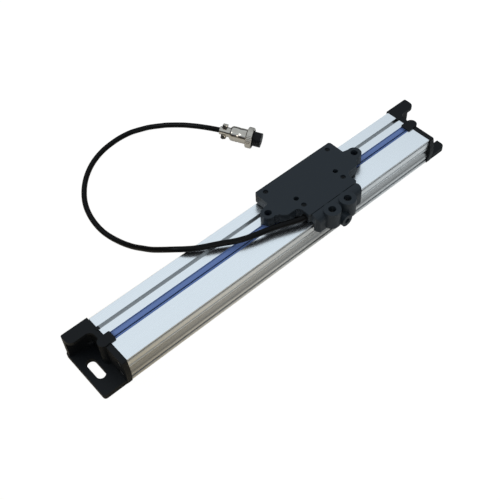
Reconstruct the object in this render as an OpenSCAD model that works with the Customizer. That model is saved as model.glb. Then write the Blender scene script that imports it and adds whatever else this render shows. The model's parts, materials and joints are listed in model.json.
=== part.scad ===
// Linear glass scale: enclosed optical linear encoder with reader head, cable and round connector.
// Millimetres. Origin: centre of the profile's underside. +X along the scale, -Y ribbed front, +Z up.

/* [Housing profile] */
// length of the aluminium housing between the end cap faces
profile_l = 320; // [312:1:330]
// width of the housing profile
profile_w = 48; // [47.4:0.1:49]
// height of the housing profile
profile_h = 27; // [26.8:0.1:27.6]
// thickness of the floor below the chamber
floor_t = 3; // [2.6:0.1:3.2]
// half width of the chamber towards the ribbed front
chamber_front = 13; // [12:0.1:13.5]
// half width of the chamber towards the plain back
chamber_back = 13.5; // [13.3:0.1:14]
// width of the seal slot in the roof
seal_slot_w = 7.8; // [7.6:0.1:8.2]
// width of the long groove beside the seal slot
top_groove_w = 3.4; // [3:0.1:3.8]
// depth of the long groove beside the seal slot
top_groove_d = 2.8; // [2.4:0.1:3]

/* [Glass scale] */
// distance from each end of the glass strip to the end of the housing
glass_inset = 8; // [8:0.5:12]
// thickness of the glass strip
glass_t = 4; // [3.6:0.1:4.1]
// gap between the upper guide rollers and the roof of the chamber
roof_gap = 0.88; // [0.8:0.01:0.96]

/* [Seal] */
// free gap between the two seal lips
lip_gap = 0.9; // [0.9:0.05:1.2]

/* [End caps] */
// thickness of the wall that closes the profile
cap_wall_t = 4.4; // [4.2:0.1:5.4]
// length of a cap beyond the end of the profile
cap_l = 24.3; // [23.8:0.1:26]
// thickness of the mounting flange
flange_t = 4.25; // [3.6:0.05:4.6]
// width of the near mounting slot
slot_w = 7.5; // [6.4:0.1:8]
// length of the near mounting slot
slot_l = 20; // [17:0.5:21]
// depth of the tab that covers the end of the seal, inwards from the profile end
tab_in = 5.2; // [4.5:0.1:6]
// half width of the tab
tab_r = 4.65; // [4.4:0.05:5]
// thickness of the lid over the back corner of a cap
lid_t = 3; // [2.6:0.1:3.4]

/* [Cap screws] */
// radius of the cap screw shank
cap_screw_r = 1.5; // [1.3:0.05:1.6]
// radius of the cap screw head
cap_head_r = 2.75; // [2.5:0.05:2.9]

/* [Reader head] */
// place of the reader head along the scale, at rest
head_x = 46.4; // [40:0.1:50]
// gap between the profile and the underside of the head
head_gap = 2.1; // [2:0.05:2.2]
// height of the top of the head above its underside
head_h = 9; // [8.9:0.1:9.4]
// thickness of the cover
cover_t = 2.2; // [2:0.05:2.3]
// spacing of the two mounting ears
ear_spacing = 96; // [95:0.1:98]
// radius of a mounting ear
ear_r = 6.1; // [5.8:0.1:6.4]
// radius of the hole in a mounting ear
ear_hole_r = 3; // [2.6:0.05:3.2]
// spacing of the two upright bosses on the front block
boss_spacing = 17; // [16.6:0.1:17.4]
// radius of an upright boss
boss_r = 7.25; // [6.9:0.05:7.4]
// radius of the hole in an upright boss
boss_hole_r = 3.2; // [2.6:0.05:3.4]
// radius of the boss that faces forward
nose_r = 5.4; // [5:0.1:5.6]
// radius of the hole in the forward boss
nose_hole_r = 2.5; // [2.1:0.05:3]

/* [Blade and carriage] */
// thickness of the blade that passes between the seal lips
blade_t = 0.55; // [0.5:0.05:0.6]
// length of the blade
blade_l = 34; // [30:0.5:36]
// radius of a guide roller
roller_r = 2.5; // [2.4:0.05:2.55]
// width of a guide roller
roller_w = 2.5; // [2.3:0.05:2.6]
// radius of a roller pin
pin_r = 1; // [0.8:0.05:1.1]
// free play between a roller and its pin
pin_play = 0.03; // [0.02:0.01:0.05]
// gap between a roller and the glass
roller_gap = 0.12; // [0.1:0.01:0.15]

/* [Cable and connector] */
// diameter of the cable
cable_d = 4.8; // [4.4:0.1:4.8]
// radius of the connector's coupling nut
nut_r = 9.5; // [9.3:0.05:9.7]
// length of the coupling nut
nut_l = 6; // [5.6:0.1:6.4]
// radius of the connector barrel
barrel_r = 6.75; // [6.7:0.05:7]
// length of the connector barrel
barrel_l = 15; // [14.5:0.1:15.5]
// radius of the connector insert
insert_r = 6.5; // [6.3:0.05:6.55]
// how far the insert stands out of the coupling nut
insert_out = 7.6; // [7.2:0.1:8]

/* [Hidden] */
e = 0.01;
hx = profile_l/2;
wy = profile_w/2;
gasket_t = 0.5;
slot_y0 = -4.2;
slot_y1 = slot_y0 + seal_slot_w;
blade_y = -0.9;
top_groove_y = 12.2;
chamber_top = profile_h - 4.5;
glass_y = 4;
glass_z = floor_t - 1;
glass_l = profile_l - 2*glass_inset;
glass_top = chamber_top - roof_gap - 2*roller_r - roller_gap;
seat_play = 0.05;
bond_t = 0.3;
screw_front = -19;
screw_back = 17;
screw_z1 = 8.5;
screw_z2 = profile_h - 6;
screw_play = 0.05;
screw_xy = [for (y = [screw_front, screw_back]) for (z = [screw_z1, screw_z2]) [y, z]];
lip_y0 = blade_y - lip_gap/2;
lip_y1 = blade_y + lip_gap/2;
tab_y = -0.35;
tab_h = profile_h + 1;
tab_corner = 1.2;
slot_cx = hx + 15.15;
slot_cy = -0.8;
block_l = 23.5;
block_y = 14;
block_corner = 5.5;
back_corner = 1.2;
flange_y0 = -24.3;
flange_y1 = 25.8;
flange_corner = 2;
near_corner = 2.5;
far_corner = 4.5;
back_y0 = 20.5;
back_y1 = 25.5;
wall_fillet = 8;
lid_fillet = 5;
root_z0 = profile_h - 2.9;
root_z1 = profile_h - 1.6;
lip_z = profile_h - 0.6;
slit_z = profile_h - 2;
notch_x = hx + 11.3;
notch_y0 = -15.2;
notch_y1 = 12.8;

hz0 = profile_h + head_gap;
hz1 = hz0 + head_h;
cover_z = hz1 - cover_t;
cover_gasket_t = 0.3;
base_top = cover_z - cover_gasket_t;
cav_z = hz0 + 2;
ear_y = 2.3;
boss_y = -29.4;
seam_y = -22.6;
seam_gap = 0.6;
boss_gap = 0.15;
front_y = -wy - 1;
block_front = -30.5;
block_z = profile_h - 5.5;
nose_y = -38;
nose_z = profile_h - 3;
gland_y = -17.4;
gland_z = hz0 + 3.3;
cable_r = cable_d/2;
sleeve_r = 2.9;
cover_pts = [[-34.5, 20.2], [34.5, 20.2], [-21.8, -10.8], [21.8, -10.8]];
foot_pts = [[-21.8, -2], [21.8, -2]];
board_z = hz0 + 3.4;
board_t = 1.2;
stand_pts = [[-27, 9], [27, 9], [-27, 18], [27, 18]];
foot_t = 2;
ribbon_x = 9;
ribbon_w = 6;

frame_z0 = glass_top - 10;
frame_top = glass_top + 1;
blade_z = frame_top + 1;
frame_y0 = -6;
frame_y1 = 2.8;
axle_z = glass_top + roller_gap + roller_r;
side_y = glass_y - roller_gap - roller_r;
top_y = glass_y + 2;
roller_dx = 24;
low_z = glass_top - 7;
mid_z = glass_top - 1.75;
beam_z = glass_top - 6.5;
fit_r = pin_r + pin_play;

scoop_z0 = 8.9;
scoop_z1 = 16.8;
scoop_d = 1.1;

conn_az = -57;
conn_tilt = -7;
clamp_w = 12.8;
clamp_h = 4.6;
clamp_screw = clamp_w/2 - 1.5;
clamp_roll = 64;
clamp_s0 = 2;
clamp_s1 = 6.5;
barrel_s0 = 10;
neck_r = insert_r - 0.3;
nut_s0 = barrel_s0 + barrel_l;
nut_s1 = nut_s0 + nut_l;
collar_s0 = nut_s1 + 0.4;
conn_l = nut_s1 + insert_out;
conn_z0 = nut_r*cos(conn_tilt) - (nut_s1 - 0.5)*sin(conn_tilt) + 0.02;
conn_x0 = 47.4;
conn_y0 = 121.9;
conn_dir = [cos(conn_az)*cos(conn_tilt), sin(conn_az)*cos(conn_tilt), sin(conn_tilt)];
conn_rear = [conn_x0, conn_y0, conn_z0];

route = [
    [27.2, -17.4, 32.4], [18.5, -17.4, 32.4], [11.5, -15.2, 32.4], [4, -12.2, 32.4],
    [-4, -9, 32.3], [-12, -6.4, 32.2], [-20, -4.1, 32.1], [-28, -1.3, 31.9], [-35.9, 2.4, 31.7],
    [-43.2, 7.1, 31.4], [-50, 11.2, 31.1], [-56.7, 15.1, 30.8], [-63.2, 19.4, 30.5],
    [-68.9, 24.2, 30.2], [-73.7, 29.7, 29],
    [-77.4, 36.5, 25.7], [-80.6, 43.5, 21.9], [-83.4, 50.9, 17.8], [-86.2, 59.5, 14],
    [-88.6, 68.5, 9.8], [-90.8, 77.5, 6.8], [-92.6, 86.5, 4.6], [-94.2, 95.5, 3.3],
    [-95.2, 105, 2.6], [-95, 115, 2.45], [-93.6, 125, 2.45], [-90.9, 135, 2.45],
    [-86.8, 144.6, 2.45], [-81.2, 153.8, 2.45], [-74.4, 162.4, 2.45], [-66.3, 170.2, 2.45],
    [-57.2, 176.8, 2.45], [-47.4, 181.8, 2.45], [-37, 185.2, 2.45], [-26, 186.9, 2.45],
    [-17, 187.2, 2.45], [-8, 186.2, 2.45], [-2.5, 184.4, 2.6], [2.8, 182, 2.9],
    [7.7, 179.2, 3.5], [12, 175.5, 4.4], [16, 171.2, 5.6], [19.7, 166.7, 7],
    [23, 161.6, 8.5], [26.1, 156.4, 10], [29.1, 151.2, 11.4], [32, 145.8, 12.6],
    [34.9, 140.6, 13.5], [37.9, 135.5, 14], [41, 130.7, 14.1], [44.2, 126.1, 13.8],
    conn_rear, conn_rear + conn_dir*4];

// ---- helpers ----
module along_x(x0, x1) {
    translate([x0, 0, 0]) rotate([90, 0, 90]) linear_extrude(x1 - x0) children();
}
module along_z(z0, z1) {
    translate([0, 0, z0]) linear_extrude(z1 - z0) children();
}
module box(x0, x1, y0, y1, z0, z1) {
    translate([x0, y0, z0]) cube([x1 - x0, y1 - y0, z1 - z0]);
}
module rod_x(x0, x1, y, z, r, fn = 32) {
    translate([x0, y, z]) rotate([0, 90, 0]) cylinder(r = r, h = x1 - x0, $fn = fn);
}
module rod_y(x, y0, y1, z, r, fn = 32) {
    translate([x, y0, z]) rotate([-90, 0, 0]) cylinder(r = r, h = y1 - y0, $fn = fn);
}
module rod_z(x, y, z0, z1, r, fn = 32) {
    translate([x, y, z0]) cylinder(r = r, h = z1 - z0, $fn = fn);
}
module at_head() {
    translate([head_x, 0, 0]) children();
}
module at_conn() {
    translate(conn_rear) rotate([0, 0, conn_az]) rotate([0, 90 - conn_tilt, 0]) children();
}
module both_x() {
    children();
    mirror([1, 0, 0]) children();
}

// ---- housing ----
module profile_outline() {
    n = 8;
    chord = scoop_z1 - scoop_z0;
    scoop_r = (chord*chord/4 + scoop_d*scoop_d)/(2*scoop_d);
    half = asin(chord/2/scoop_r);
    polygon(concat([[-wy + 0.4, 0], [-wy, 0.4], [-wy, 3.4], [-wy + 1.3, 3.8],
        [-wy + 1.3, 4.8], [-wy, 5.2]],
        // shallow scoop along the front
        [for (i = [0:n]) let (a = half*(2*i/n - 1))
            [-wy + scoop_d - scoop_r*(1 - cos(a)), (scoop_z0 + scoop_z1)/2 + scoop_r*sin(a)]],
        [[-wy, 17.8], [-wy + 0.8, 18.1], [-wy + 0.8, 18.6], [-wy, 18.9],
        [-wy, profile_h - 2.5], [-wy + 1.2, profile_h - 2.1], [-wy + 1.2, profile_h - 1.4],
        [-wy, profile_h - 1], [-wy, profile_h - 0.2], [-wy + 0.2, profile_h],
        [wy - 0.6, profile_h], [wy, profile_h - 0.6], [wy, 14], [wy - 0.8, 13.8],
        [wy - 0.8, 12.6], [wy, 12.4], [wy, 1], [wy - 1, 0]]));
}
module profile_openings() {
    // chamber, seal slot with a groove for each lip root, top groove, glass groove, side hollows
    translate([-chamber_front, floor_t])
        square([chamber_front + chamber_back, chamber_top - floor_t]);
    translate([slot_y0, chamber_top - 1]) square([seal_slot_w, 9]);
    translate([slot_y0 - 1.5, profile_h - 3]) square([seal_slot_w + 3, 1.5]);
    translate([top_groove_y - top_groove_w/2, profile_h - top_groove_d])
        square([top_groove_w, top_groove_d + 1]);
    translate([glass_y - seat_play, glass_z]) square([glass_t + 2*seat_play, 3]);
    translate([-wy + 3.2, 11.8]) square([5.8, screw_z2 - 15.6]);
    translate([wy - 8.4, 11.8]) square([5.8, screw_z2 - 15.6]);
}
module extrusion() color([0.82, 0.84, 0.86])
    difference() {
        along_x(-hx + gasket_t, hx - gasket_t) profile_outline();
        along_x(-hx, hx) profile_openings();
        for (q = screw_xy)
            rod_x(-hx, hx, q[0], q[1], cap_screw_r + screw_play);
    }

module glass_scale() color([0.75, 0.88, 0.86])
    box(-glass_l/2, glass_l/2, glass_y, glass_y + glass_t, glass_z, glass_top);

module glass_bond() color([0.85, 0.85, 0.8])
    along_x(-glass_l/2, glass_l/2)
        polygon([[glass_y + glass_t, floor_t], [glass_y + glass_t + 2.2, floor_t],
            [glass_y + glass_t + 1.6, floor_t + 1], [glass_y + glass_t + bond_t, floor_t + 3],
            [glass_y + glass_t, floor_t + 3]]);

// lips: each slopes down from its side of the slot to the slit
module lip_seal_front() color([0.25, 0.36, 0.62])
    along_x(-hx + gasket_t, hx - gasket_t)
        polygon([[slot_y0 + 0.6, root_z0], [slot_y0 - 1.4, root_z0], [slot_y0 - 1.4, root_z1],
            [slot_y0, root_z1], [slot_y0, lip_z - 0.2], [slot_y0 + 0.3, lip_z],
            [lip_y0 - 0.2, slit_z + 0.3], [lip_y0, slit_z], [lip_y0, slit_z - 0.4],
            [lip_y0 - 0.4, slit_z - 0.6], [slot_y0 + 1, root_z0 + 0.8]]);

module lip_seal_back() color([0.25, 0.36, 0.62])
    along_x(-hx + gasket_t, hx - gasket_t)
        polygon([[slot_y1 - 0.6, root_z0], [slot_y1 + 1.4, root_z0], [slot_y1 + 1.4, root_z1],
            [slot_y1, root_z1], [slot_y1 - 0.3, lip_z - 0.5],
            [lip_y1 + 0.2, slit_z + 0.3], [lip_y1, slit_z], [lip_y1, slit_z - 0.4],
            [lip_y1 + 0.4, slit_z - 0.6], [slot_y1 - 1, root_z0 + 0.8]]);

// ---- end caps (drawn for the +X end) ----
module cap_wall_outline() {
    polygon([[-24.5, 0], [-25.6, 5], [-26.3, 10], [-26.5, 14], [-26.2, 18],
        [-25.5, profile_h - 4], [-24.7, profile_h - 0.6], [-24.2, profile_h],
        [25, profile_h], [back_y1, profile_h - 0.5], [back_y1, 0]]);
}
// hollow fillet between the end wall and a face at y
module hollow_fillet(xo, y, r) {
    difference() {
        translate([xo - 0.5, y - r]) square([r + 0.5, r + 0.2]);
        translate([xo + r, y - r]) circle(r = r, $fn = 56);
    }
}
// what a rounded upright corner leaves over, outside its arc
module corner_cut(x, y, r) {
    difference() {
        translate([x - r, y - r]) square(r + 1);
        translate([x - r, y - r]) circle(r = r, $fn = 40);
    }
}
module cap_shape(front_corner) {
    xo = hx + cap_wall_t;
    difference() {
        union() {
            along_x(hx, xo) cap_wall_outline();
            // upright wall along the back
            box(hx, hx + block_l, back_y0, back_y1, 0, profile_h);
            along_z(0, profile_h) hollow_fillet(xo, back_y0, wall_fillet);
            // lid over the back corner
            along_z(profile_h - lid_t, profile_h) {
                translate([hx, block_y]) square([block_l - block_corner, back_y1 - block_y]);
                translate([hx, block_y + block_corner])
                    square([block_l, back_y1 - block_y - block_corner]);
                translate([hx + block_l - block_corner, block_y + block_corner])
                    circle(r = block_corner, $fn = 40);
                hollow_fillet(xo, block_y, lid_fillet);
            }
            // mounting flange
            along_z(0, flange_t) {
                difference() {
                    translate([hx, flange_y0]) square([cap_l, flange_y1 - flange_y0]);
                    corner_cut(hx + cap_l, flange_y1, flange_corner);
                    mirror([0, 1, 0]) corner_cut(hx + cap_l, -flange_y0, front_corner);
                }
            }
            // half round rib down the middle of the wall
            difference() {
                rod_z(hx + 3.25, tab_y, 0, tab_h, tab_r, 48);
                box(hx - 8, hx, tab_y - 6, tab_y + 6, -1, tab_h + 1);
            }
            // tab over the end of the seal, small tab over the end of the groove
            along_z(profile_h, tab_h) {
                translate([hx - tab_in + tab_corner, tab_y - tab_r])
                    square([tab_in - tab_corner + 1, 2*tab_r]);
                translate([hx - tab_in, tab_y - tab_r + tab_corner])
                    square([tab_in + 1, 2*(tab_r - tab_corner)]);
                for (s = [-1, 1])
                    translate([hx - tab_in + tab_corner, tab_y + s*(tab_r - tab_corner)])
                        circle(r = tab_corner, $fn = 24);
            }
            box(hx - 1.8, hx + 1, top_groove_y - 1.5, top_groove_y + 1.5, profile_h,
                profile_h + 0.6);
            // spigot that centres the cap in the chamber
            box(hx - 4, hx + 1, -chamber_front + 0.2, chamber_back - 0.2, floor_t + 0.2,
                chamber_top - 0.2);
        }
        along_z(flange_t, profile_h + 1) corner_cut(hx + block_l, back_y1, back_corner);
        for (q = screw_xy) {
            rod_x(hx - 1, hx + 40, q[0], q[1], cap_screw_r + screw_play);
            rod_x(hx + cap_wall_t - 3, hx + 40, q[0], q[1], cap_head_r + 0.15);
        }
    }
}
module end_cap_near() color([0.1, 0.11, 0.12])
    difference() {
        mirror([1, 0, 0]) cap_shape(near_corner);
        along_z(-1, flange_t + 1) {
            translate([-slot_cx - slot_w/2, slot_cy - (slot_l - slot_w)/2])
                square([slot_w, slot_l - slot_w]);
            for (s = [-1, 1])
                translate([-slot_cx, slot_cy + s*(slot_l - slot_w)/2])
                    circle(r = slot_w/2, $fn = 48);
        }
    }
module end_cap_far() color([0.1, 0.11, 0.12])
    difference() {
        cap_shape(far_corner);
        along_z(-1, flange_t + 1) {
            r = 3.75;
            translate([notch_x + r, notch_y0]) square([30, notch_y1 - notch_y0]);
            translate([notch_x, notch_y0 + r]) square([30, notch_y1 - notch_y0 - 2*r]);
            for (y = [notch_y0 + r, notch_y1 - r])
                translate([notch_x + r, y]) circle(r = r, $fn = 48);
        }
    }
module gasket_shape() {
    difference() {
        box(hx - gasket_t, hx, -wy + 1.7, wy - 1, 0.5, profile_h - 0.8);
        box(hx - 1, hx + 1, -chamber_front + 0.1, chamber_back - 0.1, floor_t + 0.1,
            chamber_top - 0.1);
        for (q = screw_xy)
            rod_x(hx - 1, hx + 1, q[0], q[1], cap_screw_r + screw_play);
    }
}
module cap_gasket_near() color([0.15, 0.15, 0.15]) mirror([1, 0, 0]) gasket_shape();
module cap_gasket_far() color([0.15, 0.15, 0.15]) gasket_shape();

module cap_screws() color([0.6, 0.62, 0.64])
    both_x()
        for (q = screw_xy) {
            xh = hx + cap_wall_t - 3;
            rod_x(hx - 8, xh + 1, q[0], q[1], cap_screw_r);
            difference() {
                rod_x(xh, xh + 2.4, q[0], q[1], cap_head_r);
                rod_x(xh + 1, xh + 3, q[0], q[1], 1.2, 6);
            }
        }

// ---- reader head ----
module head_plan() {
    // one half of the outline, mirrored about the middle of the head
    both_x() {
        polygon([[-e, 25.4], [40.6, 25.4], [42, 24], [42, 9.6], [44.5, 8.9], [47.2, 8.2],
            [ear_spacing/2, ear_y], [46.8, -2.4], [45.4, -3.9], [44.6, -4.6],
            [42.2, -6.4], [38.4, -9.7],
            [36.6, -9.9], [29.4, -9.9], [27.2, -11.6], [26.3, -14.4], [26.5, -21],
            [24.4, seam_y + seam_gap], [-e, seam_y + seam_gap]]);
    }
}
module head_slab(z0, z1, hole_r) {
    difference() {
        union() {
            along_z(z0, z1) head_plan();
            for (s = [-1, 1])
                rod_z(s*ear_spacing/2, ear_y, z0, z1, ear_r, 48);
        }
        for (s = [-1, 1]) {
            rod_z(s*ear_spacing/2, ear_y, z0 - 1, z1 + 1, hole_r, 40);
            rod_z(s*43.6, -6.4, z0 - 1, z1 + 1, 1.6);
        }
    }
}
module boss_cut(z0, z1) {
    for (s = [-1, 1])
        rod_z(s*boss_spacing/2 - 0.4, boss_y, z0, z1, boss_r + boss_gap, 56);
}
module boss_circles(r) {
    for (s = [-1, 1])
        translate([s*boss_spacing/2 - 0.4, boss_y]) circle(r = r, $fn = 56);
}
module shoulder() {
    n = 6;
    polygon(concat([[seam_y, hz0], [front_y, hz0], [front_y, block_z], [block_front, block_z]],
        [for (i = [0:n])
            [seam_y + (block_front - seam_y)*cos(90*i/n), hz1 - 7 + 7*sin(90*i/n)]]));
}
module base_block() {
    head_slab(hz0, base_top, ear_hole_r);
    // front block that hangs in front of the profile
    intersection() {
        along_x(-26, 26) shoulder();
        along_z(block_z, hz1) polygon([[-24.4, seam_y], [24.4, seam_y], [25.5, -25],
            [25.4, -27.5], [24.2, -29.6], [22.6, block_front], [-22.6, block_front],
            [-24.4, -27]]);
    }
    box(-24.4, 24.4, seam_y - 1, seam_y + 1, hz0, base_top);
    difference() {
        along_z(block_z + 1, hz1) boss_circles(boss_r);
        box(-30, 30, front_y, 0, 0, hz0);
    }
    rod_y(0, nose_y, front_y - 0.2, nose_z, nose_r, 48);
}
module head_base() color([0.2, 0.22, 0.25])
    at_head() difference() {
        base_block();
        // board chamber, lead channel and gland chamber
        difference() {
            box(-38, 38, 5.5, 21.5, cav_z, base_top + 1);
            for (q = cover_pts)
                rod_z(q[0], q[1], hz0, base_top + 2, 3);
            for (q = stand_pts)
                rod_z(q[0], q[1], hz0, board_z, 2);
        }
        box(-13, 13, -10, 6, cav_z + 0.6, base_top + 1);
        box(-18, 18, -20.5, -9.5, cav_z, base_top + 1);
        // pocket for the blade foot, slit for the ribbon
        box(-27, 27, -6, 4, hz0 - 1, hz0 + foot_t);
        box(ribbon_x - 3.4, ribbon_x + 3.4, -2, -0.8, hz0 - 1, cav_z + 3);
        // fastener holes
        for (q = cover_pts)
            rod_z(q[0], q[1], hz0 + 1, base_top + 1, 0.95);
        for (q = foot_pts) {
            rod_z(q[0], q[1], hz0, base_top + 1, 1.15);
            rod_z(q[0], q[1], hz0 + foot_t + 2, base_top + 1, 1.95);
        }
        for (q = stand_pts)
            rod_z(q[0], q[1], hz0 + 1.2, board_z + 1, 0.85);
        // upright and forward bolt holes
        along_z(20, hz1 + 1) boss_circles(boss_hole_r);
        rod_y(0, nose_y - 1, nose_y + 7.4, nose_z, nose_hole_r, 40);
        // cable hole
        rod_x(-27.4, -17, gland_y, gland_z, sleeve_r + 0.05, 40);
    }
module cover_gasket() color([0.12, 0.12, 0.13])
    at_head() difference() {
        head_slab(base_top, cover_z, ear_hole_r + 0.3);
        boss_cut(base_top - 1, cover_z + 1);
        box(-37, 37, 6.5, 20.5, base_top - 1, cover_z + 1);
        box(-12, 12, -10, 7, base_top - 1, cover_z + 1);
        box(-17, 17, -19.5, -9.5, base_top - 1, cover_z + 1);
        for (q = concat(cover_pts, foot_pts))
            rod_z(q[0], q[1], base_top - 1, cover_z + 1, 2.3);
    }
module head_cover() color([0.2, 0.22, 0.25])
    at_head() difference() {
        head_slab(cover_z, hz1, ear_hole_r);
        boss_cut(cover_z - 1, hz1 + 1);
        for (q = cover_pts) {
            rod_z(q[0], q[1], cover_z - 1, hz1 + 1, 1.0);
            rod_z(q[0], q[1], cover_z + 0.5, hz1 + 1, 2.2);
        }
        for (q = foot_pts)
            rod_z(q[0], q[1], cover_z - 1, hz1 + 1, 2.2);
    }
module cover_screws() color([0.25, 0.26, 0.28])
    at_head() for (q = cover_pts) {
        rod_z(q[0], q[1], hz0 + 2.2, cover_z + 1, 0.9, 24);
        difference() {
            rod_z(q[0], q[1], cover_z + 0.5, cover_z + 1.3, 1.8);
            box(q[0] - 1.2, q[0] + 1.2, q[1] - 0.2, q[1] + 0.2, cover_z + 0.9, hz1);
            box(q[0] - 0.2, q[0] + 0.2, q[1] - 1.2, q[1] + 1.2, cover_z + 0.9, hz1);
        }
    }
module blade() color([0.7, 0.71, 0.72])
    at_head() difference() {
        union() {
            box(-26.9, 26.9, -5.9, 3.9, hz0, hz0 + foot_t);
            box(-blade_l/2, blade_l/2, blade_y - blade_t/2, blade_y + blade_t/2, blade_z,
                hz0 + 1);
        }
        // recess for the ribbon, fork for the coupling post, threaded holes
        box(ribbon_x - 3.2, ribbon_x + 3.2, blade_y - blade_t/2 - 0.5,
            blade_y - blade_t/2 + 0.25, blade_z - 1, hz0 + 5);
        box(-1.35, 1.35, -3, 3, blade_z - 1, blade_z + 2.4);
        for (q = foot_pts)
            rod_z(q[0], q[1], hz0 - 1, hz0 + 5, 1.0, 24);
    }
module blade_screws() color([0.62, 0.63, 0.65])
    at_head() for (q = foot_pts) {
        rod_z(q[0], q[1], hz0 + 0.2, hz0 + foot_t + 2.5, 0.98, 24);
        difference() {
            rod_z(q[0], q[1], hz0 + foot_t + 2, hz0 + foot_t + 3.6, 1.8);
            rod_z(q[0], q[1], hz0 + foot_t + 2.8, hz0 + foot_t + 5, 0.85, 6);
        }
    }
module signal_board() color([0.08, 0.3, 0.16])
    at_head() difference() {
        box(-30.5, 30.5, 6, 21, board_z, board_z + board_t);
        for (q = stand_pts)
            rod_z(q[0], q[1], board_z - 1, board_z + 3, 0.95, 24);
    }
module board_parts() color([0.12, 0.12, 0.13])
    at_head() {
        zt = board_z + board_t;
        box(-8, 2, 11, 17, zt, zt + 0.9);
        box(14, 20, 12, 17, zt, zt + 0.8);
        box(-20, -16.5, 12, 15, zt, zt + 0.9);
        box(-14, -12, 8, 9.2, zt, zt + 0.5);
        box(22, 23.2, 15, 17, zt, zt + 0.5);
        box(-6, 4, 6.6, 8.8, zt, zt + 0.9);
    }
module board_screws() color([0.62, 0.63, 0.65])
    at_head() for (q = stand_pts) {
        rod_z(q[0], q[1], board_z - 2, board_z + board_t + 0.5, 0.8, 24);
        rod_z(q[0], q[1], board_z + board_t, board_z + board_t + 0.8, 1.5, 24);
    }
module cable_gland() color([0.08, 0.08, 0.09])
    at_head() difference() {
        union() {
            rod_x(-26.9, -18.6, gland_y, gland_z, sleeve_r, 40);
            rod_x(-27, -26.5, gland_y, gland_z, sleeve_r + 0.3, 40);
        }
        rod_x(-30, -10, gland_y, gland_z, cable_r + 0.1, 40);
    }

// tube: rings of points swept along a path, closed at both ends
function unit(v) = v/norm(v);
function tangent(path, i) = i == 0 ? unit(path[1] - path[0])
    : i == len(path) - 1 ? unit(path[i] - path[i - 1])
    : unit(unit(path[i + 1] - path[i]) + unit(path[i] - path[i - 1]));
function ring(path, i, r, n) =
    let (t = tangent(path, i), s = unit(cross(t, [0, 0, 1])), u = cross(s, t))
    [for (k = [0:n - 1]) path[i] + s*r*cos(360*k/n + 180/n) + u*r*sin(360*k/n + 180/n)];
module tube(path, r, n) {
    m = len(path);
    pts = [for (i = [0:m - 1]) for (q = ring(path, i, r, n)) q];
    sides = [for (i = [0:m - 2]) for (k = [0:n - 1])
        let (a = i*n + k, b = i*n + (k + 1)%n)
        for (f = [[a, a + n, b + n], [a, b + n, b]]) f];
    polyhedron(points = pts, faces = concat(sides, [[for (k = [0:n - 1]) k]],
        [[for (k = [n - 1:-1:0]) (m - 1)*n + k]]), convexity = 8);
}
module cable() color([0.05, 0.05, 0.06]) tube(route, cable_r, 12);

module lead_wires() color([0.7, 0.2, 0.15])
    at_head() for (k = [0:3]) {
        x = -4.4 + 2.2*k;
        y = gland_y + 1.2 - 0.8*k;
        zb = board_z + board_t + 0.45;
        tube([[-19.2, y, gland_z], [-17, y, gland_z], [x - 3, y + 1, gland_z + 0.2],
            [x, -10, gland_z + 1.1], [x, 3, zb], [x, 6.6, zb]], 0.35, 8);
    }
module flex_ribbon() color([0.75, 0.45, 0.12])
    at_head() {
        ry = blade_y - blade_t/2;
        zr = board_z + board_t;
        x0 = ribbon_x - ribbon_w/2;
        x1 = ribbon_x + ribbon_w/2;
        box(x0, x1, ry, ry + 0.2, frame_top + 0.85, zr + 0.2);
        box(x0, x1, ry, 9, zr, zr + 0.2);
        box(x0, x1, -6.8, ry + 0.2, frame_top + 0.85, frame_top + 1.05);
    }

// ---- connector, drawn along its own axis from the rear ----
module conn_clamp() color([0.75, 0.75, 0.74])
    at_conn() difference() {
        union() {
            cylinder(r = 3.7, h = 9, $fn = 40);
            rotate([0, 0, clamp_roll]) difference() {
                translate([-clamp_h/2, -clamp_w/2, clamp_s0])
                    cube([clamp_h, clamp_w, clamp_s1 - clamp_s0]);
                translate([-0.4, 3, clamp_s0 - 1]) cube([0.8, 9, 7]);
                translate([-0.4, -12, clamp_s0 - 1]) cube([0.8, 9, 7]);
                for (s = [-1, 1])
                    translate([-5, s*clamp_screw, 4.2]) rotate([0, 90, 0])
                        cylinder(r = 1.05, h = 10, $fn = 24);
            }
            translate([0, 0, 6.4]) cylinder(r = 4.45, h = barrel_s0 - 6.4, $fn = 40);
        }
        translate([0, 0, -1]) cylinder(r = cable_r + 0.05, h = 20, $fn = 40);
    }
module clamp_screws() color([0.7, 0.7, 0.7])
    at_conn() rotate([0, 0, clamp_roll]) for (s = [-1, 1]) {
        translate([-clamp_h/2 - 0.4, s*clamp_screw, 4.2]) rotate([0, 90, 0])
            cylinder(r = 1.0, h = clamp_h + 0.4, $fn = 24);
        difference() {
            translate([-clamp_h/2 - 1.4, s*clamp_screw, 4.2]) rotate([0, 90, 0])
                cylinder(r = 1.7, h = 1.4, $fn = 32);
            translate([-clamp_h/2 - 1.8, s*clamp_screw - 2, 3.95]) cube([1, 4, 0.5]);
        }
    }
module conn_barrel() color([0.75, 0.75, 0.74])
    at_conn() difference() {
        rotate_extrude($fn = 56)
            polygon([[2.6, barrel_s0], [5.6, barrel_s0], [barrel_r, barrel_s0 + 1.6],
                [barrel_r, nut_s0 - 0.05], [insert_r + 0.6, nut_s0 - 0.05],
                [insert_r + 0.6, nut_s0 + 1.5], [insert_r + 1.1, nut_s0 + 1.5],
                [insert_r + 1.1, nut_s0 + 2.3], [neck_r + 0.05, nut_s0 + 2.3],
                [neck_r + 0.05, nut_s0 - 5], [5.2, nut_s0 - 5.4], [5.2, barrel_s0 + 2],
                [2.6, barrel_s0 + 2]]);
    }
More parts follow.
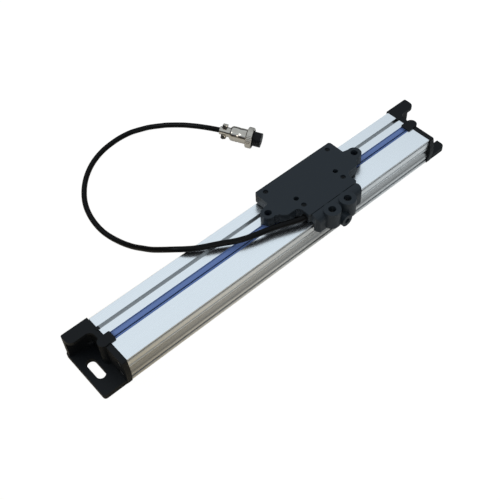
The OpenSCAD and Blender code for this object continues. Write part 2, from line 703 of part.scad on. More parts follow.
module coupling_nut() color([0.78, 0.78, 0.77])
    at_conn() rotate_extrude($fn = 64)
        polygon([[insert_r + 0.65, nut_s0 + 0.05], [nut_r - 2.2, nut_s0 + 0.05],
            [nut_r - 0.7, nut_s0 + 0.3], [nut_r, nut_s0 + 0.9], [nut_r, nut_s1 - 0.5],
            [nut_r - 0.5, nut_s1], [insert_r + 1.5, nut_s1], [insert_r + 1.5, nut_s0 + 1.4],
            [insert_r + 0.65, nut_s0 + 1.4]]);
module conn_insert() color([0.05, 0.05, 0.05])
    at_conn() difference() {
        union() {
            translate([0, 0, nut_s0 - 5])
                cylinder(r = neck_r, h = collar_s0 - nut_s0 + 5.5, $fn = 56);
            translate([0, 0, collar_s0]) cylinder(r = insert_r, h = conn_l - collar_s0, $fn = 56);
        }
        for (k = [0:4])
            rotate([0, 0, 72*k + 20]) translate([3.6, 0, nut_s0])
                cylinder(r = 1.05, h = 40, $fn = 24);
        translate([insert_r - 0.8, -1, nut_s0 + 3]) cube([2, 2, 30]);
    }
module conn_contacts() color([0.8, 0.68, 0.4])
    at_conn() for (k = [0:4])
        rotate([0, 0, 72*k + 20]) translate([3.6, 0, nut_s0])
            difference() {
                cylinder(r = 1.0, h = conn_l - nut_s0 - 0.8, $fn = 24);
                translate([0, 0, 5]) cylinder(r = 0.6, h = 40, $fn = 20);
            }

// ---- scanning carriage ----
module carriage_frame() color([0.55, 0.57, 0.6])
    at_head() difference() {
        union() {
            box(-30, 30, frame_y0, frame_y1, frame_z0, frame_top);
            box(-30, 30, 1, glass_y + glass_t + 3.4, glass_top + 0.8, glass_top + 4.4);
            box(-14, 14, glass_y + glass_t + 1.2, glass_y + glass_t + 3.4, beam_z - 2.5,
                glass_top + 1);
        }
        // pockets of the rollers
        for (s = [-1, 1]) {
            box(s*roller_dx - 3, s*roller_dx + 3, top_y - 1.45, top_y + 1.45, glass_top + 0.5,
                chamber_top);
            box(s*roller_dx - 3, s*roller_dx + 3, side_y - 3, 5, low_z - 1.55, low_z + 1.55);
            rod_z(s*roller_dx, side_y, frame_z0 - 1, low_z + 4.5, pin_r + 0.02);
            rod_y(s*roller_dx, 0.6, glass_y + glass_t + 2, axle_z, pin_r + 0.02);
        }
        box(-3, 3, side_y - 3, 5, mid_z - 1.55, mid_z + 1.55);
        rod_z(0, side_y, mid_z - 2.4, frame_top - 0.4, pin_r + 0.02);
        // light windows
        box(-7, 7, frame_y0 - 1, frame_y1 + 1, beam_z - 2.4, beam_z + 2);
        box(-5, 5, glass_y + glass_t, glass_y + glass_t + 5, beam_z - 2, beam_z + 2);
        // seat of the coupling post
        rod_z(0, blade_y - 0.6, frame_top - 1, frame_top + 1, 0.9);
    }
module led_board() color([0.08, 0.3, 0.16])
    at_head() box(-12, 12, glass_y + glass_t + 3.4, glass_y + glass_t + 4.4, beam_z - 2,
        glass_top + 0.5);
module led_lamp() color([0.9, 0.9, 0.85])
    at_head() {
        rod_y(0, glass_y + glass_t + 2.7, glass_y + glass_t + 3.4, beam_z, 1.4);
        box(-1.8, 1.8, glass_y + glass_t + 3.1, glass_y + glass_t + 3.4, beam_z - 1.6,
            beam_z + 1.6);
    }
module collimator_lens() color([0.8, 0.88, 0.92])
    at_head() difference() {
        box(-4.95, 4.95, glass_y + glass_t + 1.3, glass_y + glass_t + 2.3, beam_z - 1.95,
            beam_z + 1.95);
        rod_y(0, glass_y + glass_t, glass_y + glass_t + 1.5, beam_z, 1.7);
    }
module reticle() color([0.75, 0.85, 0.85])
    at_head() box(-6.95, 6.95, 1.7, 2.7, beam_z - 2.35, beam_z + 1.95);
module detector_board() color([0.08, 0.3, 0.16])
    at_head() {
        box(-20, 20, frame_y0 - 1.2, frame_y0, frame_z0 + 0.5, frame_top + 0.8);
        // socket of the ribbon
        box(ribbon_x - 3.5, ribbon_x + 3.5, frame_y0, frame_y0 + 2.5, frame_top,
            frame_top + 0.8);
    }
module detectors() color([0.12, 0.12, 0.14])
    at_head() for (k = [0:3])
        box(-6 + 3.2*k, -3.6 + 3.2*k, frame_y0, frame_y0 + 1, beam_z - 1.8, beam_z + 1.4);
module roller_pins() color([0.7, 0.7, 0.72])
    at_head() {
        for (s = [-1, 1]) {
            rod_z(s*roller_dx, side_y, frame_z0, low_z + 4.4, pin_r);
            rod_y(s*roller_dx, 1, glass_y + glass_t + 1.9, axle_z, pin_r);
        }
        rod_z(0, side_y, mid_z - 2.4, frame_top - 0.4, pin_r);
    }
module coupling_post() color([0.7, 0.7, 0.72])
    at_head() {
        rod_z(0, blade_y - 0.6, frame_top - 1, frame_top + 2, 0.88);
        rod_z(0, blade_y - 0.6, frame_top + 1.3, frame_top + 2.6, 1.15);
    }
module coupling_spring() color([0.75, 0.7, 0.5])
    at_head() {
        box(-14, -5, -5.2, -2.4, frame_top, frame_top + 0.25);
        box(-5.25, -5, -5.2, -2.4, frame_top, frame_top + 2);
        box(-5.25, -1.2, -2.6, -2.4, frame_top + 0.6, frame_top + 2);
    }
module roller_shape() {
    rotate_extrude($fn = 48)
        polygon([[fit_r, -roller_w/2], [roller_r - 0.2, -roller_w/2],
            [roller_r, -roller_w/2 + 0.2], [roller_r, roller_w/2 - 0.2],
            [roller_r - 0.2, roller_w/2], [fit_r, roller_w/2]]);
}
module roller_top_a() color([0.8, 0.8, 0.82])
    translate([head_x - roller_dx, top_y, axle_z]) rotate([90, 0, 0]) roller_shape();
module roller_top_b() color([0.8, 0.8, 0.82])
    translate([head_x + roller_dx, top_y, axle_z]) rotate([90, 0, 0]) roller_shape();
module roller_side_a() color([0.8, 0.8, 0.82])
    translate([head_x - roller_dx, side_y, low_z]) roller_shape();
module roller_side_b() color([0.8, 0.8, 0.82])
    translate([head_x + roller_dx, side_y, low_z]) roller_shape();
module roller_side_c() color([0.8, 0.8, 0.82])
    translate([head_x, side_y, mid_z]) roller_shape();

extrusion();
glass_scale();
glass_bond();
lip_seal_front();
lip_seal_back();
end_cap_near();
end_cap_far();
cap_gasket_near();
cap_gasket_far();
cap_screws();
head_base();
cover_gasket();
head_cover();
cover_screws();
blade();
blade_screws();
signal_board();
board_parts();
board_screws();
cable_gland();
cable();
lead_wires();
flex_ribbon();
conn_clamp();
clamp_screws();
conn_barrel();
conn_insert();
conn_contacts();
coupling_nut();
carriage_frame();
led_board();
led_lamp();
collimator_lens();
reticle();
detector_board();
detectors();
roller_pins();
coupling_post();
coupling_spring();
roller_top_a();
roller_top_b();
roller_side_a();
roller_side_b();
roller_side_c();
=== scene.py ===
import json
import math

import bpy
from mathutils import Matrix, Vector


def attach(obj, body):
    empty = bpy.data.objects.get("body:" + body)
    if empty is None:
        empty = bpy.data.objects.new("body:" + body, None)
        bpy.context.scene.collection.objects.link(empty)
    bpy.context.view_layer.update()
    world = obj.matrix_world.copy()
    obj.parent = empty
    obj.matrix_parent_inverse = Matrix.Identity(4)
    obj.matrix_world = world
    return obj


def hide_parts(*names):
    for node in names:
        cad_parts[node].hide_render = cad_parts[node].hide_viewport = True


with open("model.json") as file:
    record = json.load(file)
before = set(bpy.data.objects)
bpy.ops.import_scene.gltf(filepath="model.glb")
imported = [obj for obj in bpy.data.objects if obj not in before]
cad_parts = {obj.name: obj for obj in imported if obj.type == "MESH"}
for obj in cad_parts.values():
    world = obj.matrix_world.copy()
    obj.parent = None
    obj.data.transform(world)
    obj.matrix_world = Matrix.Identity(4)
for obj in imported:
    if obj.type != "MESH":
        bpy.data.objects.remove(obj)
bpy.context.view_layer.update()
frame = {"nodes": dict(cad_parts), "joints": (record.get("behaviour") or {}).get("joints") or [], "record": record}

MM = 0.001
UP = Vector((0, 0, 1))
NODES = frame["nodes"]
NUT_SPIN = next(j for j in frame["joints"] if j["name"] == "nut_spin")

# ---- driving sizes of the cable and the plug, from the plug's rear end forwards ----
CABLE_D = 4.8 * MM
CABLE_IN_PLUG = 4 * MM
BARREL_START = 10.0 * MM
BARREL_LEN = 15.0 * MM
BARREL_R = 6.75 * MM
NUT_START = BARREL_START + BARREL_LEN
NUT_LEN = 6.0 * MM
NUT_END = NUT_START + NUT_LEN
NUT_R = 9.5 * MM
INSERT_R = 6.5 * MM

# the plug's axis, from the joint of its coupling nut
PLUG_AXIS = Vector(NUT_SPIN["axis"]).normalized()
PLUG_REAR = Vector(NUT_SPIN["pos_m"]) - PLUG_AXIS * (NUT_START + NUT_LEN / 2)

# ---- camera, at the photograph's viewing angle ----
CAM_TARGET = Vector((-0.01757, 0.0080, -0.00012))
CAM_AZIMUTH = -38.27
CAM_ELEVATION = 51.29
CAM_ROLL = -3.91
CAM_DISTANCE = 0.675
CAM_LENS = 59.69
CAM_SENSOR = 36
CAM_CLIP = 0.01


def make_camera():
    az = math.radians(CAM_AZIMUTH)
    el = math.radians(CAM_ELEVATION)
    roll = math.radians(CAM_ROLL)
    back = Vector((math.sin(az) * math.cos(el), -math.cos(az) * math.cos(el), math.sin(el)))
    right = UP.cross(back).normalized()
    up = back.cross(right)
    right, up = (
        right * math.cos(roll) + up * math.sin(roll),
        up * math.cos(roll) - right * math.sin(roll),
    )
    data = bpy.data.cameras.new("camera")
    data.lens = CAM_LENS
    data.sensor_width = CAM_SENSOR
    data.clip_start = CAM_CLIP
    camera = bpy.data.objects.new("camera", data)
    turn = Matrix((right, up, back)).transposed().to_4x4()
    camera.matrix_world = Matrix.Translation(CAM_TARGET + back * CAM_DISTANCE) @ turn
    bpy.context.scene.collection.objects.link(camera)
    bpy.context.scene.camera = camera


make_camera()


# ---- meshes ----
def around(centre, side, top, radius, turn):
    """The point at one angle of a circle about a centre, in the plane of side and top."""
    return centre + side * (radius * math.cos(turn)) + top * (radius * math.sin(turn))


def add_mesh(name, verts, faces):
    """A mesh object of this name, placed in the scene."""
    mesh = bpy.data.meshes.new(name)
    mesh.from_pydata([tuple(v) for v in verts], [], faces)
    mesh.update()
    obj = bpy.data.objects.new(name, mesh)
    bpy.context.scene.collection.objects.link(obj)
    return obj


# ---- cable: its route over the housing and the table, in mm, as in the CAD source ----
ROUTE = [
    (27.2, -17.4, 32.4), (18.5, -17.4, 32.4), (11.5, -15.2, 32.4), (4, -12.2, 32.4),
    (-4, -9, 32.3), (-12, -6.4, 32.2), (-20, -4.1, 32.1), (-28, -1.3, 31.9), (-35.9, 2.4, 31.7),
    (-43.2, 7.1, 31.4), (-50, 11.2, 31.1), (-56.7, 15.1, 30.8), (-63.2, 19.4, 30.5),
    (-68.9, 24.2, 30.2), (-73.7, 29.7, 29),
    (-77.4, 36.5, 25.7), (-80.6, 43.5, 21.9), (-83.4, 50.9, 17.8), (-86.2, 59.5, 14),
    (-88.6, 68.5, 9.8), (-90.8, 77.5, 6.8), (-92.6, 86.5, 4.6), (-94.2, 95.5, 3.3),
    (-95.2, 105, 2.6), (-95, 115, 2.45), (-93.6, 125, 2.45), (-90.9, 135, 2.45),
    (-86.8, 144.6, 2.45), (-81.2, 153.8, 2.45), (-74.4, 162.4, 2.45), (-66.3, 170.2, 2.45),
    (-57.2, 176.8, 2.45), (-47.4, 181.8, 2.45), (-37, 185.2, 2.45), (-26, 186.9, 2.45),
    (-17, 187.2, 2.45), (-8, 186.2, 2.45), (-2.5, 184.4, 2.6), (2.8, 182, 2.9),
    (7.7, 179.2, 3.5), (12, 175.5, 4.4), (16, 171.2, 5.6), (19.7, 166.7, 7),
    (23, 161.6, 8.5), (26.1, 156.4, 10), (29.1, 151.2, 11.4), (32, 145.8, 12.6),
    (34.9, 140.6, 13.5), (37.9, 135.5, 14), (41, 130.7, 14.1), (44.2, 126.1, 13.8),
]
CABLE_SIDES = 24
CABLE_STEPS = 4


def smooth_line(points, steps):
    """Points along the smooth curve that passes through every given point."""
    line = []
    last = len(points) - 1
    for n in range(last):
        before = points[max(n - 1, 0)]
        here = points[n]
        there = points[n + 1]
        after = points[min(n + 2, last)]
        for k in range(steps):
            t = k / steps
            line.append(0.5 * (2 * here + (there - before) * t
                               + (2 * before - 5 * here + 4 * there - after) * t ** 2
                               + (3 * here - before - 3 * there + after) * t ** 3))
    line.append(points[last])
    return line


def make_tube(name, line, radius, sides):
    """A round cord along a line, closed at both ends."""
    verts = []
    last = len(line) - 1
    for n, centre in enumerate(line):
        along = (line[min(n + 1, last)] - line[max(n - 1, 0)]).normalized()
        side = along.cross(UP).normalized()
        top = side.cross(along)
        for k in range(sides):
            verts.append(around(centre, side, top, radius, 2 * math.pi * k / sides))
    faces = []
    for n in range(last):
        for k in range(sides):
            j = (k + 1) % sides
            faces.append((n * sides + k, (n + 1) * sides + k,
                          (n + 1) * sides + j, n * sides + j))
    faces.append(tuple(range(sides)))
    faces.append(tuple(last * sides + k for k in reversed(range(sides))))
    obj = add_mesh(name, verts, faces)
    for face in obj.data.polygons:
        face.use_smooth = len(face.vertices) == 4
    return obj


CABLE_POINTS = [Vector(point) * MM for point in ROUTE]
CABLE_POINTS += [PLUG_REAR, PLUG_REAR + PLUG_AXIS * CABLE_IN_PLUG]
CABLE_LINE = smooth_line(CABLE_POINTS, CABLE_STEPS)
cable = make_tube("cable_jacket", CABLE_LINE, CABLE_D / 2, CABLE_SIDES)
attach(cable, "head")
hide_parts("cable")


# ---- materials ----
NOISE_DETAIL = 3.0
SMOOTHEST = 0.02


def ramp(tree, stops):
    """A colour ramp with a stop at each (place, colour)."""
    node = tree.nodes.new("ShaderNodeValToRGB")
    elements = node.color_ramp.elements
    while len(elements) < len(stops):
        elements.new(0.5)
    for element, (place, color) in zip(elements, stops):
        element.position = place
        element.color = (*color, 1)
    return node


def math_node(tree, operation, *values):
    """A maths node on its values, each a float or another node's output."""
    node = tree.nodes.new("ShaderNodeMath")
    node.operation = operation
    for n, value in enumerate(values):
        if isinstance(value, float):
            node.inputs[n].default_value = value
        else:
            tree.links.new(value, node.inputs[n])
    return node.outputs["Value"]


def place_axes(tree, output="Object"):
    """The X, Y and Z outputs of a point's place."""
    place = tree.nodes.new("ShaderNodeTexCoord")
    split = tree.nodes.new("ShaderNodeSeparateXYZ")
    tree.links.new(place.outputs[output], split.inputs["Vector"])
    return split.outputs


def scaled(color, k):
    return tuple(min(1.0, c * k) for c in color)


def surface(name, color, metallic=0.0, roughness=0.5, grain=900.0, stretch=(1, 1, 1),
            mottle=0.08, rough_spread=0.08, bump=0.05, depth=0.00005, coat=0.0, specular=0.5,
            transmission=0.0):
    """A procedural surface: colour and roughness vary with a noise, which also bumps it."""
    material = bpy.data.materials.new(name)
    material.use_nodes = True
    tree = material.node_tree
    nodes = tree.nodes
    links = tree.links
    shader = nodes["Principled BSDF"]
    place = nodes.new("ShaderNodeTexCoord")
    mapping = nodes.new("ShaderNodeMapping")
    mapping.inputs["Scale"].default_value = stretch
    noise = nodes.new("ShaderNodeTexNoise")
    noise.inputs["Scale"].default_value = grain
    noise.inputs["Detail"].default_value = NOISE_DETAIL
    tint = ramp(tree, [(0.3, scaled(color, 1 - mottle)), (0.7, scaled(color, 1 + mottle))])
    spread = nodes.new("ShaderNodeMapRange")
    spread.inputs["To Min"].default_value = max(SMOOTHEST, roughness - rough_spread)
    spread.inputs["To Max"].default_value = roughness + rough_spread
    relief = nodes.new("ShaderNodeBump")
    relief.inputs["Strength"].default_value = bump
    relief.inputs["Distance"].default_value = depth
    links.new(place.outputs["Object"], mapping.inputs["Vector"])
    links.new(mapping.outputs["Vector"], noise.inputs["Vector"])
    links.new(noise.outputs["Fac"], tint.inputs["Fac"])
    links.new(noise.outputs["Fac"], spread.inputs["Value"])
    links.new(noise.outputs["Fac"], relief.inputs["Height"])
    links.new(tint.outputs["Color"], shader.inputs["Base Color"])
    links.new(spread.outputs["Result"], shader.inputs["Roughness"])
    links.new(relief.outputs["Normal"], shader.inputs["Normal"])
    shader.inputs["Metallic"].default_value = metallic
    shader.inputs["Coat Weight"].default_value = coat
    shader.inputs["Specular IOR Level"].default_value = specular
    shader.inputs["Transmission Weight"].default_value = transmission
    return material


# the grain of a drawn or rolled surface runs along the housing
ALONG_X = (0.004, 1, 1)

LOOKS = {
    # housing and glass
    "profile_aluminium": dict(color=(0.93, 0.95, 0.96), metallic=1.0, roughness=0.27,
                              grain=2200.0, stretch=ALONG_X, mottle=0.02, rough_spread=0.04,
                              bump=0.03, depth=0.00001),
    "scale_glass": dict(color=(0.72, 0.88, 0.85), roughness=0.06, grain=300.0, mottle=0.03,
                        rough_spread=0.02, bump=0.0),
    "bond": dict(color=(0.75, 0.74, 0.68), roughness=0.6, grain=1500.0, bump=0.2),
    "seal_blue": dict(color=(0.135, 0.21, 0.45), roughness=0.40, grain=1400.0,
                      stretch=ALONG_X, bump=0.08, depth=0.00003, specular=0.35),
    "cap_black": dict(color=(0.004, 0.005, 0.006), roughness=0.50, grain=2600.0, mottle=0.3,
                      bump=0.35, depth=0.00006, specular=0.2),
    "gasket_black": dict(color=(0.006, 0.006, 0.006), roughness=0.6, grain=1500.0,
                         specular=0.2),
    # reader head
    "head_grey": dict(color=(0.016, 0.022, 0.028), roughness=0.48, grain=3200.0, bump=0.20,
                      specular=0.27),
    "blade_steel": dict(color=(0.55, 0.56, 0.57), metallic=1.0, roughness=0.3, grain=2500.0,
                        stretch=ALONG_X),
    "board_green": dict(color=(0.02, 0.16, 0.07), roughness=0.3, grain=700.0, mottle=0.3,
                        coat=0.4),
    "chip_black": dict(color=(0.02, 0.02, 0.022), roughness=0.55, grain=2500.0, bump=0.2),
    "wire_red": dict(color=(0.5, 0.04, 0.03), roughness=0.35, grain=1000.0),
    "ribbon_amber": dict(color=(0.55, 0.25, 0.04), roughness=0.3, grain=800.0, coat=0.3),
    # fasteners
    "screw_steel": dict(color=(0.5, 0.5, 0.5), metallic=1.0, roughness=0.34, grain=1800.0),
    "screw_black": dict(color=(0.004, 0.005, 0.006), roughness=0.45, grain=1800.0,
                        specular=0.2),
    # cable and plug
    "cable_black": dict(color=(0.0015, 0.0015, 0.0015), roughness=0.3, grain=1200.0,
                        mottle=0.2, bump=0.04, specular=0.12),
    "nickel": dict(color=(0.53, 0.49, 0.43), metallic=1.0, roughness=0.10, mottle=0.02,
                   rough_spread=0.03, bump=0.02),
    "insert_black": dict(color=(0.002, 0.002, 0.003), roughness=0.4, grain=1500.0,
                         specular=0.2),
    "contact_brass": dict(color=(0.7, 0.5, 0.2), metallic=1.0, roughness=0.25),
    # scanning carriage
    "frame_grey": dict(color=(0.45, 0.47, 0.5), metallic=1.0, roughness=0.45, grain=3000.0,
                       bump=0.2),
    "lamp_clear": dict(color=(0.85, 0.85, 0.78), roughness=0.2, grain=500.0),
    "optic_glass": dict(color=(0.8, 0.9, 0.92), roughness=0.05, grain=300.0, mottle=0.02,
                        rough_spread=0.02, bump=0.0, transmission=0.9),
    "pin_steel": dict(color=(0.6, 0.6, 0.62), metallic=1.0, roughness=0.22, grain=1500.0),
    "spring_steel": dict(color=(0.55, 0.5, 0.38), metallic=1.0, roughness=0.28, grain=1500.0,
                         stretch=ALONG_X),
}
MATERIALS = {name: surface(name, **look) for name, look in LOOKS.items()}

GRADUATIONS_PER_METRE = 2000.0
BAR_SHARE = 0.5
CLEAR_GROUND = 0.9


def graduate(material):
    """Fine graduations across the glass strip, every 0.5 mm: opaque bars over its clear ground."""
    tree = material.node_tree
    shader = tree.nodes["Principled BSDF"]
    steps = math_node(tree, "MULTIPLY", place_axes(tree)["X"], GRADUATIONS_PER_METRE)
    bars = math_node(tree, "LESS_THAN", math_node(tree, "FRACT", steps), BAR_SHARE)
    clear = math_node(tree, "SUBTRACT", CLEAR_GROUND, bars)
    tree.links.new(clear, shader.inputs["Transmission Weight"])


graduate(MATERIALS["scale_glass"])

# painted shade on the drawn front, a brightness for each height in mm: darker bands in the grooves and the scoop
# stand in for their shade and darker reflections
FRONT_PAINTED_SHADE = [
    (0, 1), (1.5, 1), (2.4, 0.88), (3.4, 0.42), (4.3, 0.24), (5, 0.4), (5.8, 0.86),
    (7.2, 0.9), (8.4, 0.5), (9.3, 0.35), (10.5, 0.43), (12.5, 0.58), (14.2, 0.7),
    (15.4, 0.96), (16.4, 1), (17.2, 0.86), (18.2, 0.5), (19.2, 0.7), (20.2, 0.95),
    (22.5, 0.95), (23.6, 0.8), (24.7, 0.42), (25.5, 0.45), (26.4, 0.9),
]
HOUSING_H = 27
FRONT_Y = -21.5 * MM
FRONT_TOP = 26.8 * MM
GROOVE_Y0 = 10 * MM
GROOVE_Y1 = 14.4 * MM
GROOVE_TOP = 26.6 * MM
# painted shade: the share by which the top groove's colour is darkened
GROOVE_PAINTED_SHADE = 0.42


def paint_groove_shade(material):
    """Painted shade in the base colour: darker down in the grooves, along the front and in the top groove."""
    tree = material.node_tree
    shader = tree.nodes["Principled BSDF"]
    tint = shader.inputs["Base Color"].links[0].from_socket
    axes = place_axes(tree)
    y = axes["Y"]
    z = axes["Z"]
    # painted shade: the front's colour is darkened band by band with height
    bands = ramp(tree, [(mm / HOUSING_H, (level, level, level)) for mm, level in FRONT_PAINTED_SHADE])
    tree.links.new(math_node(tree, "DIVIDE", z, HOUSING_H * MM), bands.inputs["Fac"])
    on_front = math_node(tree, "MULTIPLY", math_node(tree, "LESS_THAN", y, FRONT_Y),
                         math_node(tree, "LESS_THAN", z, FRONT_TOP))
    in_groove = math_node(tree, "MULTIPLY", math_node(tree, "GREATER_THAN", y, GROOVE_Y0),
                          math_node(tree, "LESS_THAN", y, GROOVE_Y1))
    in_groove = math_node(tree, "MULTIPLY", in_groove,
                          math_node(tree, "LESS_THAN", z, GROOVE_TOP))
    front_painted_shade = math_node(tree, "SUBTRACT", 1.0, bands.outputs["Color"])
    painted_shade = math_node(tree, "ADD", math_node(tree, "MULTIPLY", on_front, front_painted_shade),
                     math_node(tree, "MULTIPLY", in_groove, GROOVE_PAINTED_SHADE))
    shade = tree.nodes.new("ShaderNodeVectorMath")
    shade.operation = "SCALE"
    tree.links.new(tint, shade.inputs[0])
    tree.links.new(math_node(tree, "SUBTRACT", 1.0, painted_shade), shade.inputs["Scale"])
    tree.links.new(shade.outputs["Vector"], shader.inputs["Base Color"])


paint_groove_shade(MATERIALS["profile_aluminium"])


def dress(obj, slot_name):
    obj.data.materials.clear()
    obj.data.materials.append(MATERIALS[slot_name])


for part in frame["record"]["subparts"]:
    dress(NODES[part["node"]], part["material_slot"])
dress(cable, "cable_black")


# ---- softened edges on the cast parts ----
EDGES = {
    "head_cover": 0.35 * MM,
    "head_base": 0.4 * MM,
    "end_cap_near": 0.9 * MM,
    "end_cap_far": 1.1 * MM,
    "conn_clamp": 0.6 * MM,
}
EDGE_STEPS = 3
EDGE_ANGLE = 30

for node_name, width in EDGES.items():
    bevel = NODES[node_name].modifiers.new("edge", "BEVEL")
    bevel.width = width
    bevel.segments = EDGE_STEPS
    bevel.limit_method = "ANGLE"
    bevel.angle_limit = math.radians(EDGE_ANGLE)
    bevel.harden_normals = True
    bevel.use_clamp_overlap = True


# ---- plug: the turned barrel and the knurled nut ----
RING_STEPS = 96
RIDGE_STEPS = 6
SHARP_ANGLE = 35


def turned(name, profile, body, slot_name, replaced, ridges=0, deep=0.0, ribbed=()):
    """A ring turned about the plug's axis from (radius, place) points; ribbed rows have ridges."""
    segments = ridges * RIDGE_STEPS if ridges else RING_STEPS
    side = PLUG_AXIS.cross(UP).normalized()
    top = side.cross(PLUG_AXIS)
    verts = []
    for n, (radius, place) in enumerate(profile):
        centre = PLUG_REAR + PLUG_AXIS * place
        for k in range(segments):
            turn = 2 * math.pi * k / segments
            r = radius
            if n in ribbed:
                r -= deep * (0.5 - 0.5 * math.cos(ridges * turn)) ** 2
            verts.append(around(centre, side, top, r, turn))
    rows = len(profile)
    faces = []
    for n in range(rows):
        m = (n + 1) % rows
        for k in range(segments):
            j = (k + 1) % segments
            faces.append((n * segments + k, n * segments + j,
                          m * segments + j, m * segments + k))
    obj = add_mesh(name, verts, faces)
    dress(obj, slot_name)
    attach(obj, body)
    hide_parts(replaced)
    for face in obj.data.polygons:
        face.use_smooth = True
    obj.data.set_sharp_from_angle(angle=math.radians(SHARP_ANGLE))
    return obj


NUT_BORE = INSERT_R + 0.65 * MM
NUT_MOUTH = INSERT_R + 1.5 * MM
NUT_BACK = NUT_START + 0.05 * MM
NUT_WEB = NUT_START + 1.4 * MM
NUT_RIDGES = 40
NUT_RIDGE_DEEP = 0.28 * MM
NUT_PROFILE = [
    (NUT_BORE, NUT_BACK),
    (NUT_R - 2.2 * MM, NUT_BACK),
    (NUT_R - 0.7 * MM, NUT_START + 0.3 * MM),
    (NUT_R - 0.1 * MM, NUT_START + 0.9 * MM),
    (NUT_R, NUT_START + 1.5 * MM),
    (NUT_R, NUT_END - 1.2 * MM),
    (NUT_R - 0.15 * MM, NUT_END - 0.5 * MM),
    (NUT_R - 0.6 * MM, NUT_END),
    (NUT_MOUTH, NUT_END),
    (NUT_MOUTH, NUT_WEB),
    (NUT_BORE, NUT_WEB),
]
NUT_RIBBED = (4, 5)
nut = turned("nut_knurled", NUT_PROFILE, "coupling_nut", "nickel", "coupling_nut",
             NUT_RIDGES, NUT_RIDGE_DEEP, NUT_RIBBED)

# the barrel runs from its rear wall to the collar that holds the nut and the neck round the insert
CABLE_HOLE_R = 2.6 * MM
BARREL_BORE = 5.2 * MM
BARREL_EDGE_R = BARREL_R - 0.25 * MM
BARREL_WALL = BARREL_START + 2 * MM
BARREL_FACE = NUT_START - 0.05 * MM
NECK_R = INSERT_R - 0.25 * MM
UNDER_NUT_R = INSERT_R + 0.58 * MM
COLLAR_R = INSERT_R + 1.1 * MM
COLLAR_START = NUT_START + 1.5 * MM
COLLAR_END = NUT_START + 2.3 * MM
BARREL_PROFILE = [
    (CABLE_HOLE_R, BARREL_START),
    (5.6 * MM, BARREL_START),
    (BARREL_EDGE_R, BARREL_START + 1.3 * MM),
    (BARREL_R, BARREL_START + 1.8 * MM),
    (BARREL_R, BARREL_START + 7.6 * MM),
    (BARREL_EDGE_R, BARREL_START + 8.0 * MM),
    (BARREL_EDGE_R, BARREL_START + 8.5 * MM),
    (BARREL_R, BARREL_START + 8.9 * MM),
    (BARREL_R, NUT_START - 0.3 * MM),
    (BARREL_EDGE_R, BARREL_FACE),
    (UNDER_NUT_R, BARREL_FACE),
    (UNDER_NUT_R, COLLAR_START),
    (COLLAR_R, COLLAR_START),
    (COLLAR_R, COLLAR_END),
    (NECK_R, COLLAR_END),
    (NECK_R, NUT_START - 5 * MM),
    (BARREL_BORE, NUT_START - 5.4 * MM),
    (BARREL_BORE, BARREL_WALL),
    (CABLE_HOLE_R, BARREL_WALL),
]
barrel = turned("barrel_turned", BARREL_PROFILE, "head", "nickel", "conn_barrel")


# ---- floor, backdrop and light ----
FLOOR_HALF = 6.0
FLOOR_Z = -0.2 * MM
# painted light: the tabletop's colour runs warmer and darker towards the near end, so the near end of the housing
# reflects warmer, dimmer light
PAPER_X = (-0.35, 0.25)
PAPER_TINT_AND_WARM_LIGHT = [(0.33, (0.72, 0.60, 0.44)), (0.45, (0.92, 0.80, 0.65)), (0.75, (1, 0.97, 0.92))]
PAPER_GLOW = 1.08
GLOW_SHARE = 0.9
SKY_TINT = [(0.0, (0.05, 0.05, 0.05)), (0.36, (0.06, 0.06, 0.07)), (0.5, (0.42, 0.45, 0.50)),
            (0.72, (0.80, 0.90, 0.98)), (1.0, (0.70, 0.76, 0.82))]
SKY_STRENGTH = 0.95


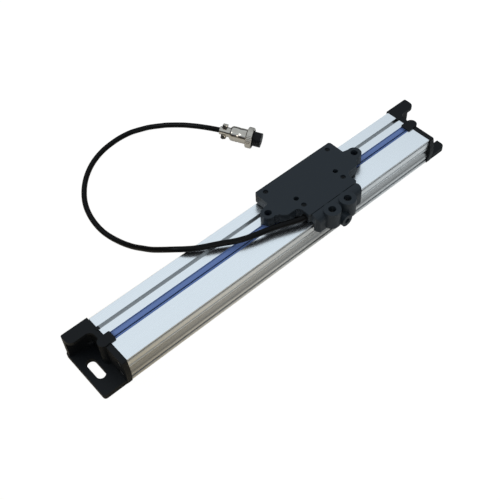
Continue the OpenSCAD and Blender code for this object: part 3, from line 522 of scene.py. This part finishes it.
def make_floor():
    """A tabletop that glows white to the camera and is tinted paper to every other ray, with painted warm light
    towards the near end.
    """
    corners = [(-1, -1), (1, -1), (1, 1), (-1, 1)]
    floor = add_mesh("floor", [(x * FLOOR_HALF, y * FLOOR_HALF, FLOOR_Z) for x, y in corners],
                     [(0, 1, 2, 3)])
    material = bpy.data.materials.new("floor_white")
    material.use_nodes = True
    tree = material.node_tree
    nodes = tree.nodes
    links = tree.links
    nodes.clear()
    out = nodes.new("ShaderNodeOutputMaterial")
    path = nodes.new("ShaderNodeLightPath")
    paper = nodes.new("ShaderNodeBsdfDiffuse")
    spread = nodes.new("ShaderNodeMapRange")
    spread.inputs["From Min"].default_value = PAPER_X[0]
    spread.inputs["From Max"].default_value = PAPER_X[1]
    tint = ramp(tree, PAPER_TINT_AND_WARM_LIGHT)
    links.new(place_axes(tree)["X"], spread.inputs["Value"])
    links.new(spread.outputs["Result"], tint.inputs["Fac"])
    links.new(tint.outputs["Color"], paper.inputs["Color"])
    glow = nodes.new("ShaderNodeEmission")
    glow.inputs["Color"].default_value = (1, 1, 1, 1)
    glow.inputs["Strength"].default_value = PAPER_GLOW
    seen = math_node(tree, "MAXIMUM", path.outputs["Is Camera Ray"],
                     path.outputs["Is Transmission Ray"])
    mix = nodes.new("ShaderNodeMixShader")
    links.new(math_node(tree, "MULTIPLY", seen, GLOW_SHARE), mix.inputs["Fac"])
    links.new(paper.outputs["BSDF"], mix.inputs[1])
    links.new(glow.outputs["Emission"], mix.inputs[2])
    links.new(mix.outputs["Shader"], out.inputs["Surface"])
    floor.data.materials.append(material)


def make_world():
    """A bright studio above, falling off to a darker room near the horizon."""
    world = bpy.data.worlds.new("studio")
    bpy.context.scene.world = world
    world.use_nodes = True
    tree = world.node_tree
    background = tree.nodes["Background"]
    sky = ramp(tree, SKY_TINT)
    tree.links.new(place_axes(tree, "Generated")["Z"], sky.inputs["Fac"])
    tree.links.new(sky.outputs["Color"], background.inputs["Color"])
    background.inputs["Strength"].default_value = SKY_STRENGTH


def area(name, place, size, power, color):
    """A softbox aimed at the middle of the model."""
    data = bpy.data.lights.new(name, "AREA")
    data.shape = "RECTANGLE"
    data.size = size[0]
    data.size_y = size[1]
    data.energy = power
    data.color = color
    light = bpy.data.objects.new(name, data)
    bpy.context.scene.collection.objects.link(light)
    light.location = place
    light.rotation_euler = (-Vector(place)).to_track_quat("-Z", "Y").to_euler()


make_floor()
make_world()
area("softbox_left", (-0.9, 0.5, 0.9), (0.6, 0.6), 2.5, (0.95, 0.98, 1.0))
area("softbox_front", (-0.5, -1.0, 0.5), (0.5, 0.4), 1.5, (1.0, 0.97, 0.93))

bpy.context.scene.view_settings.view_transform = "Standard"
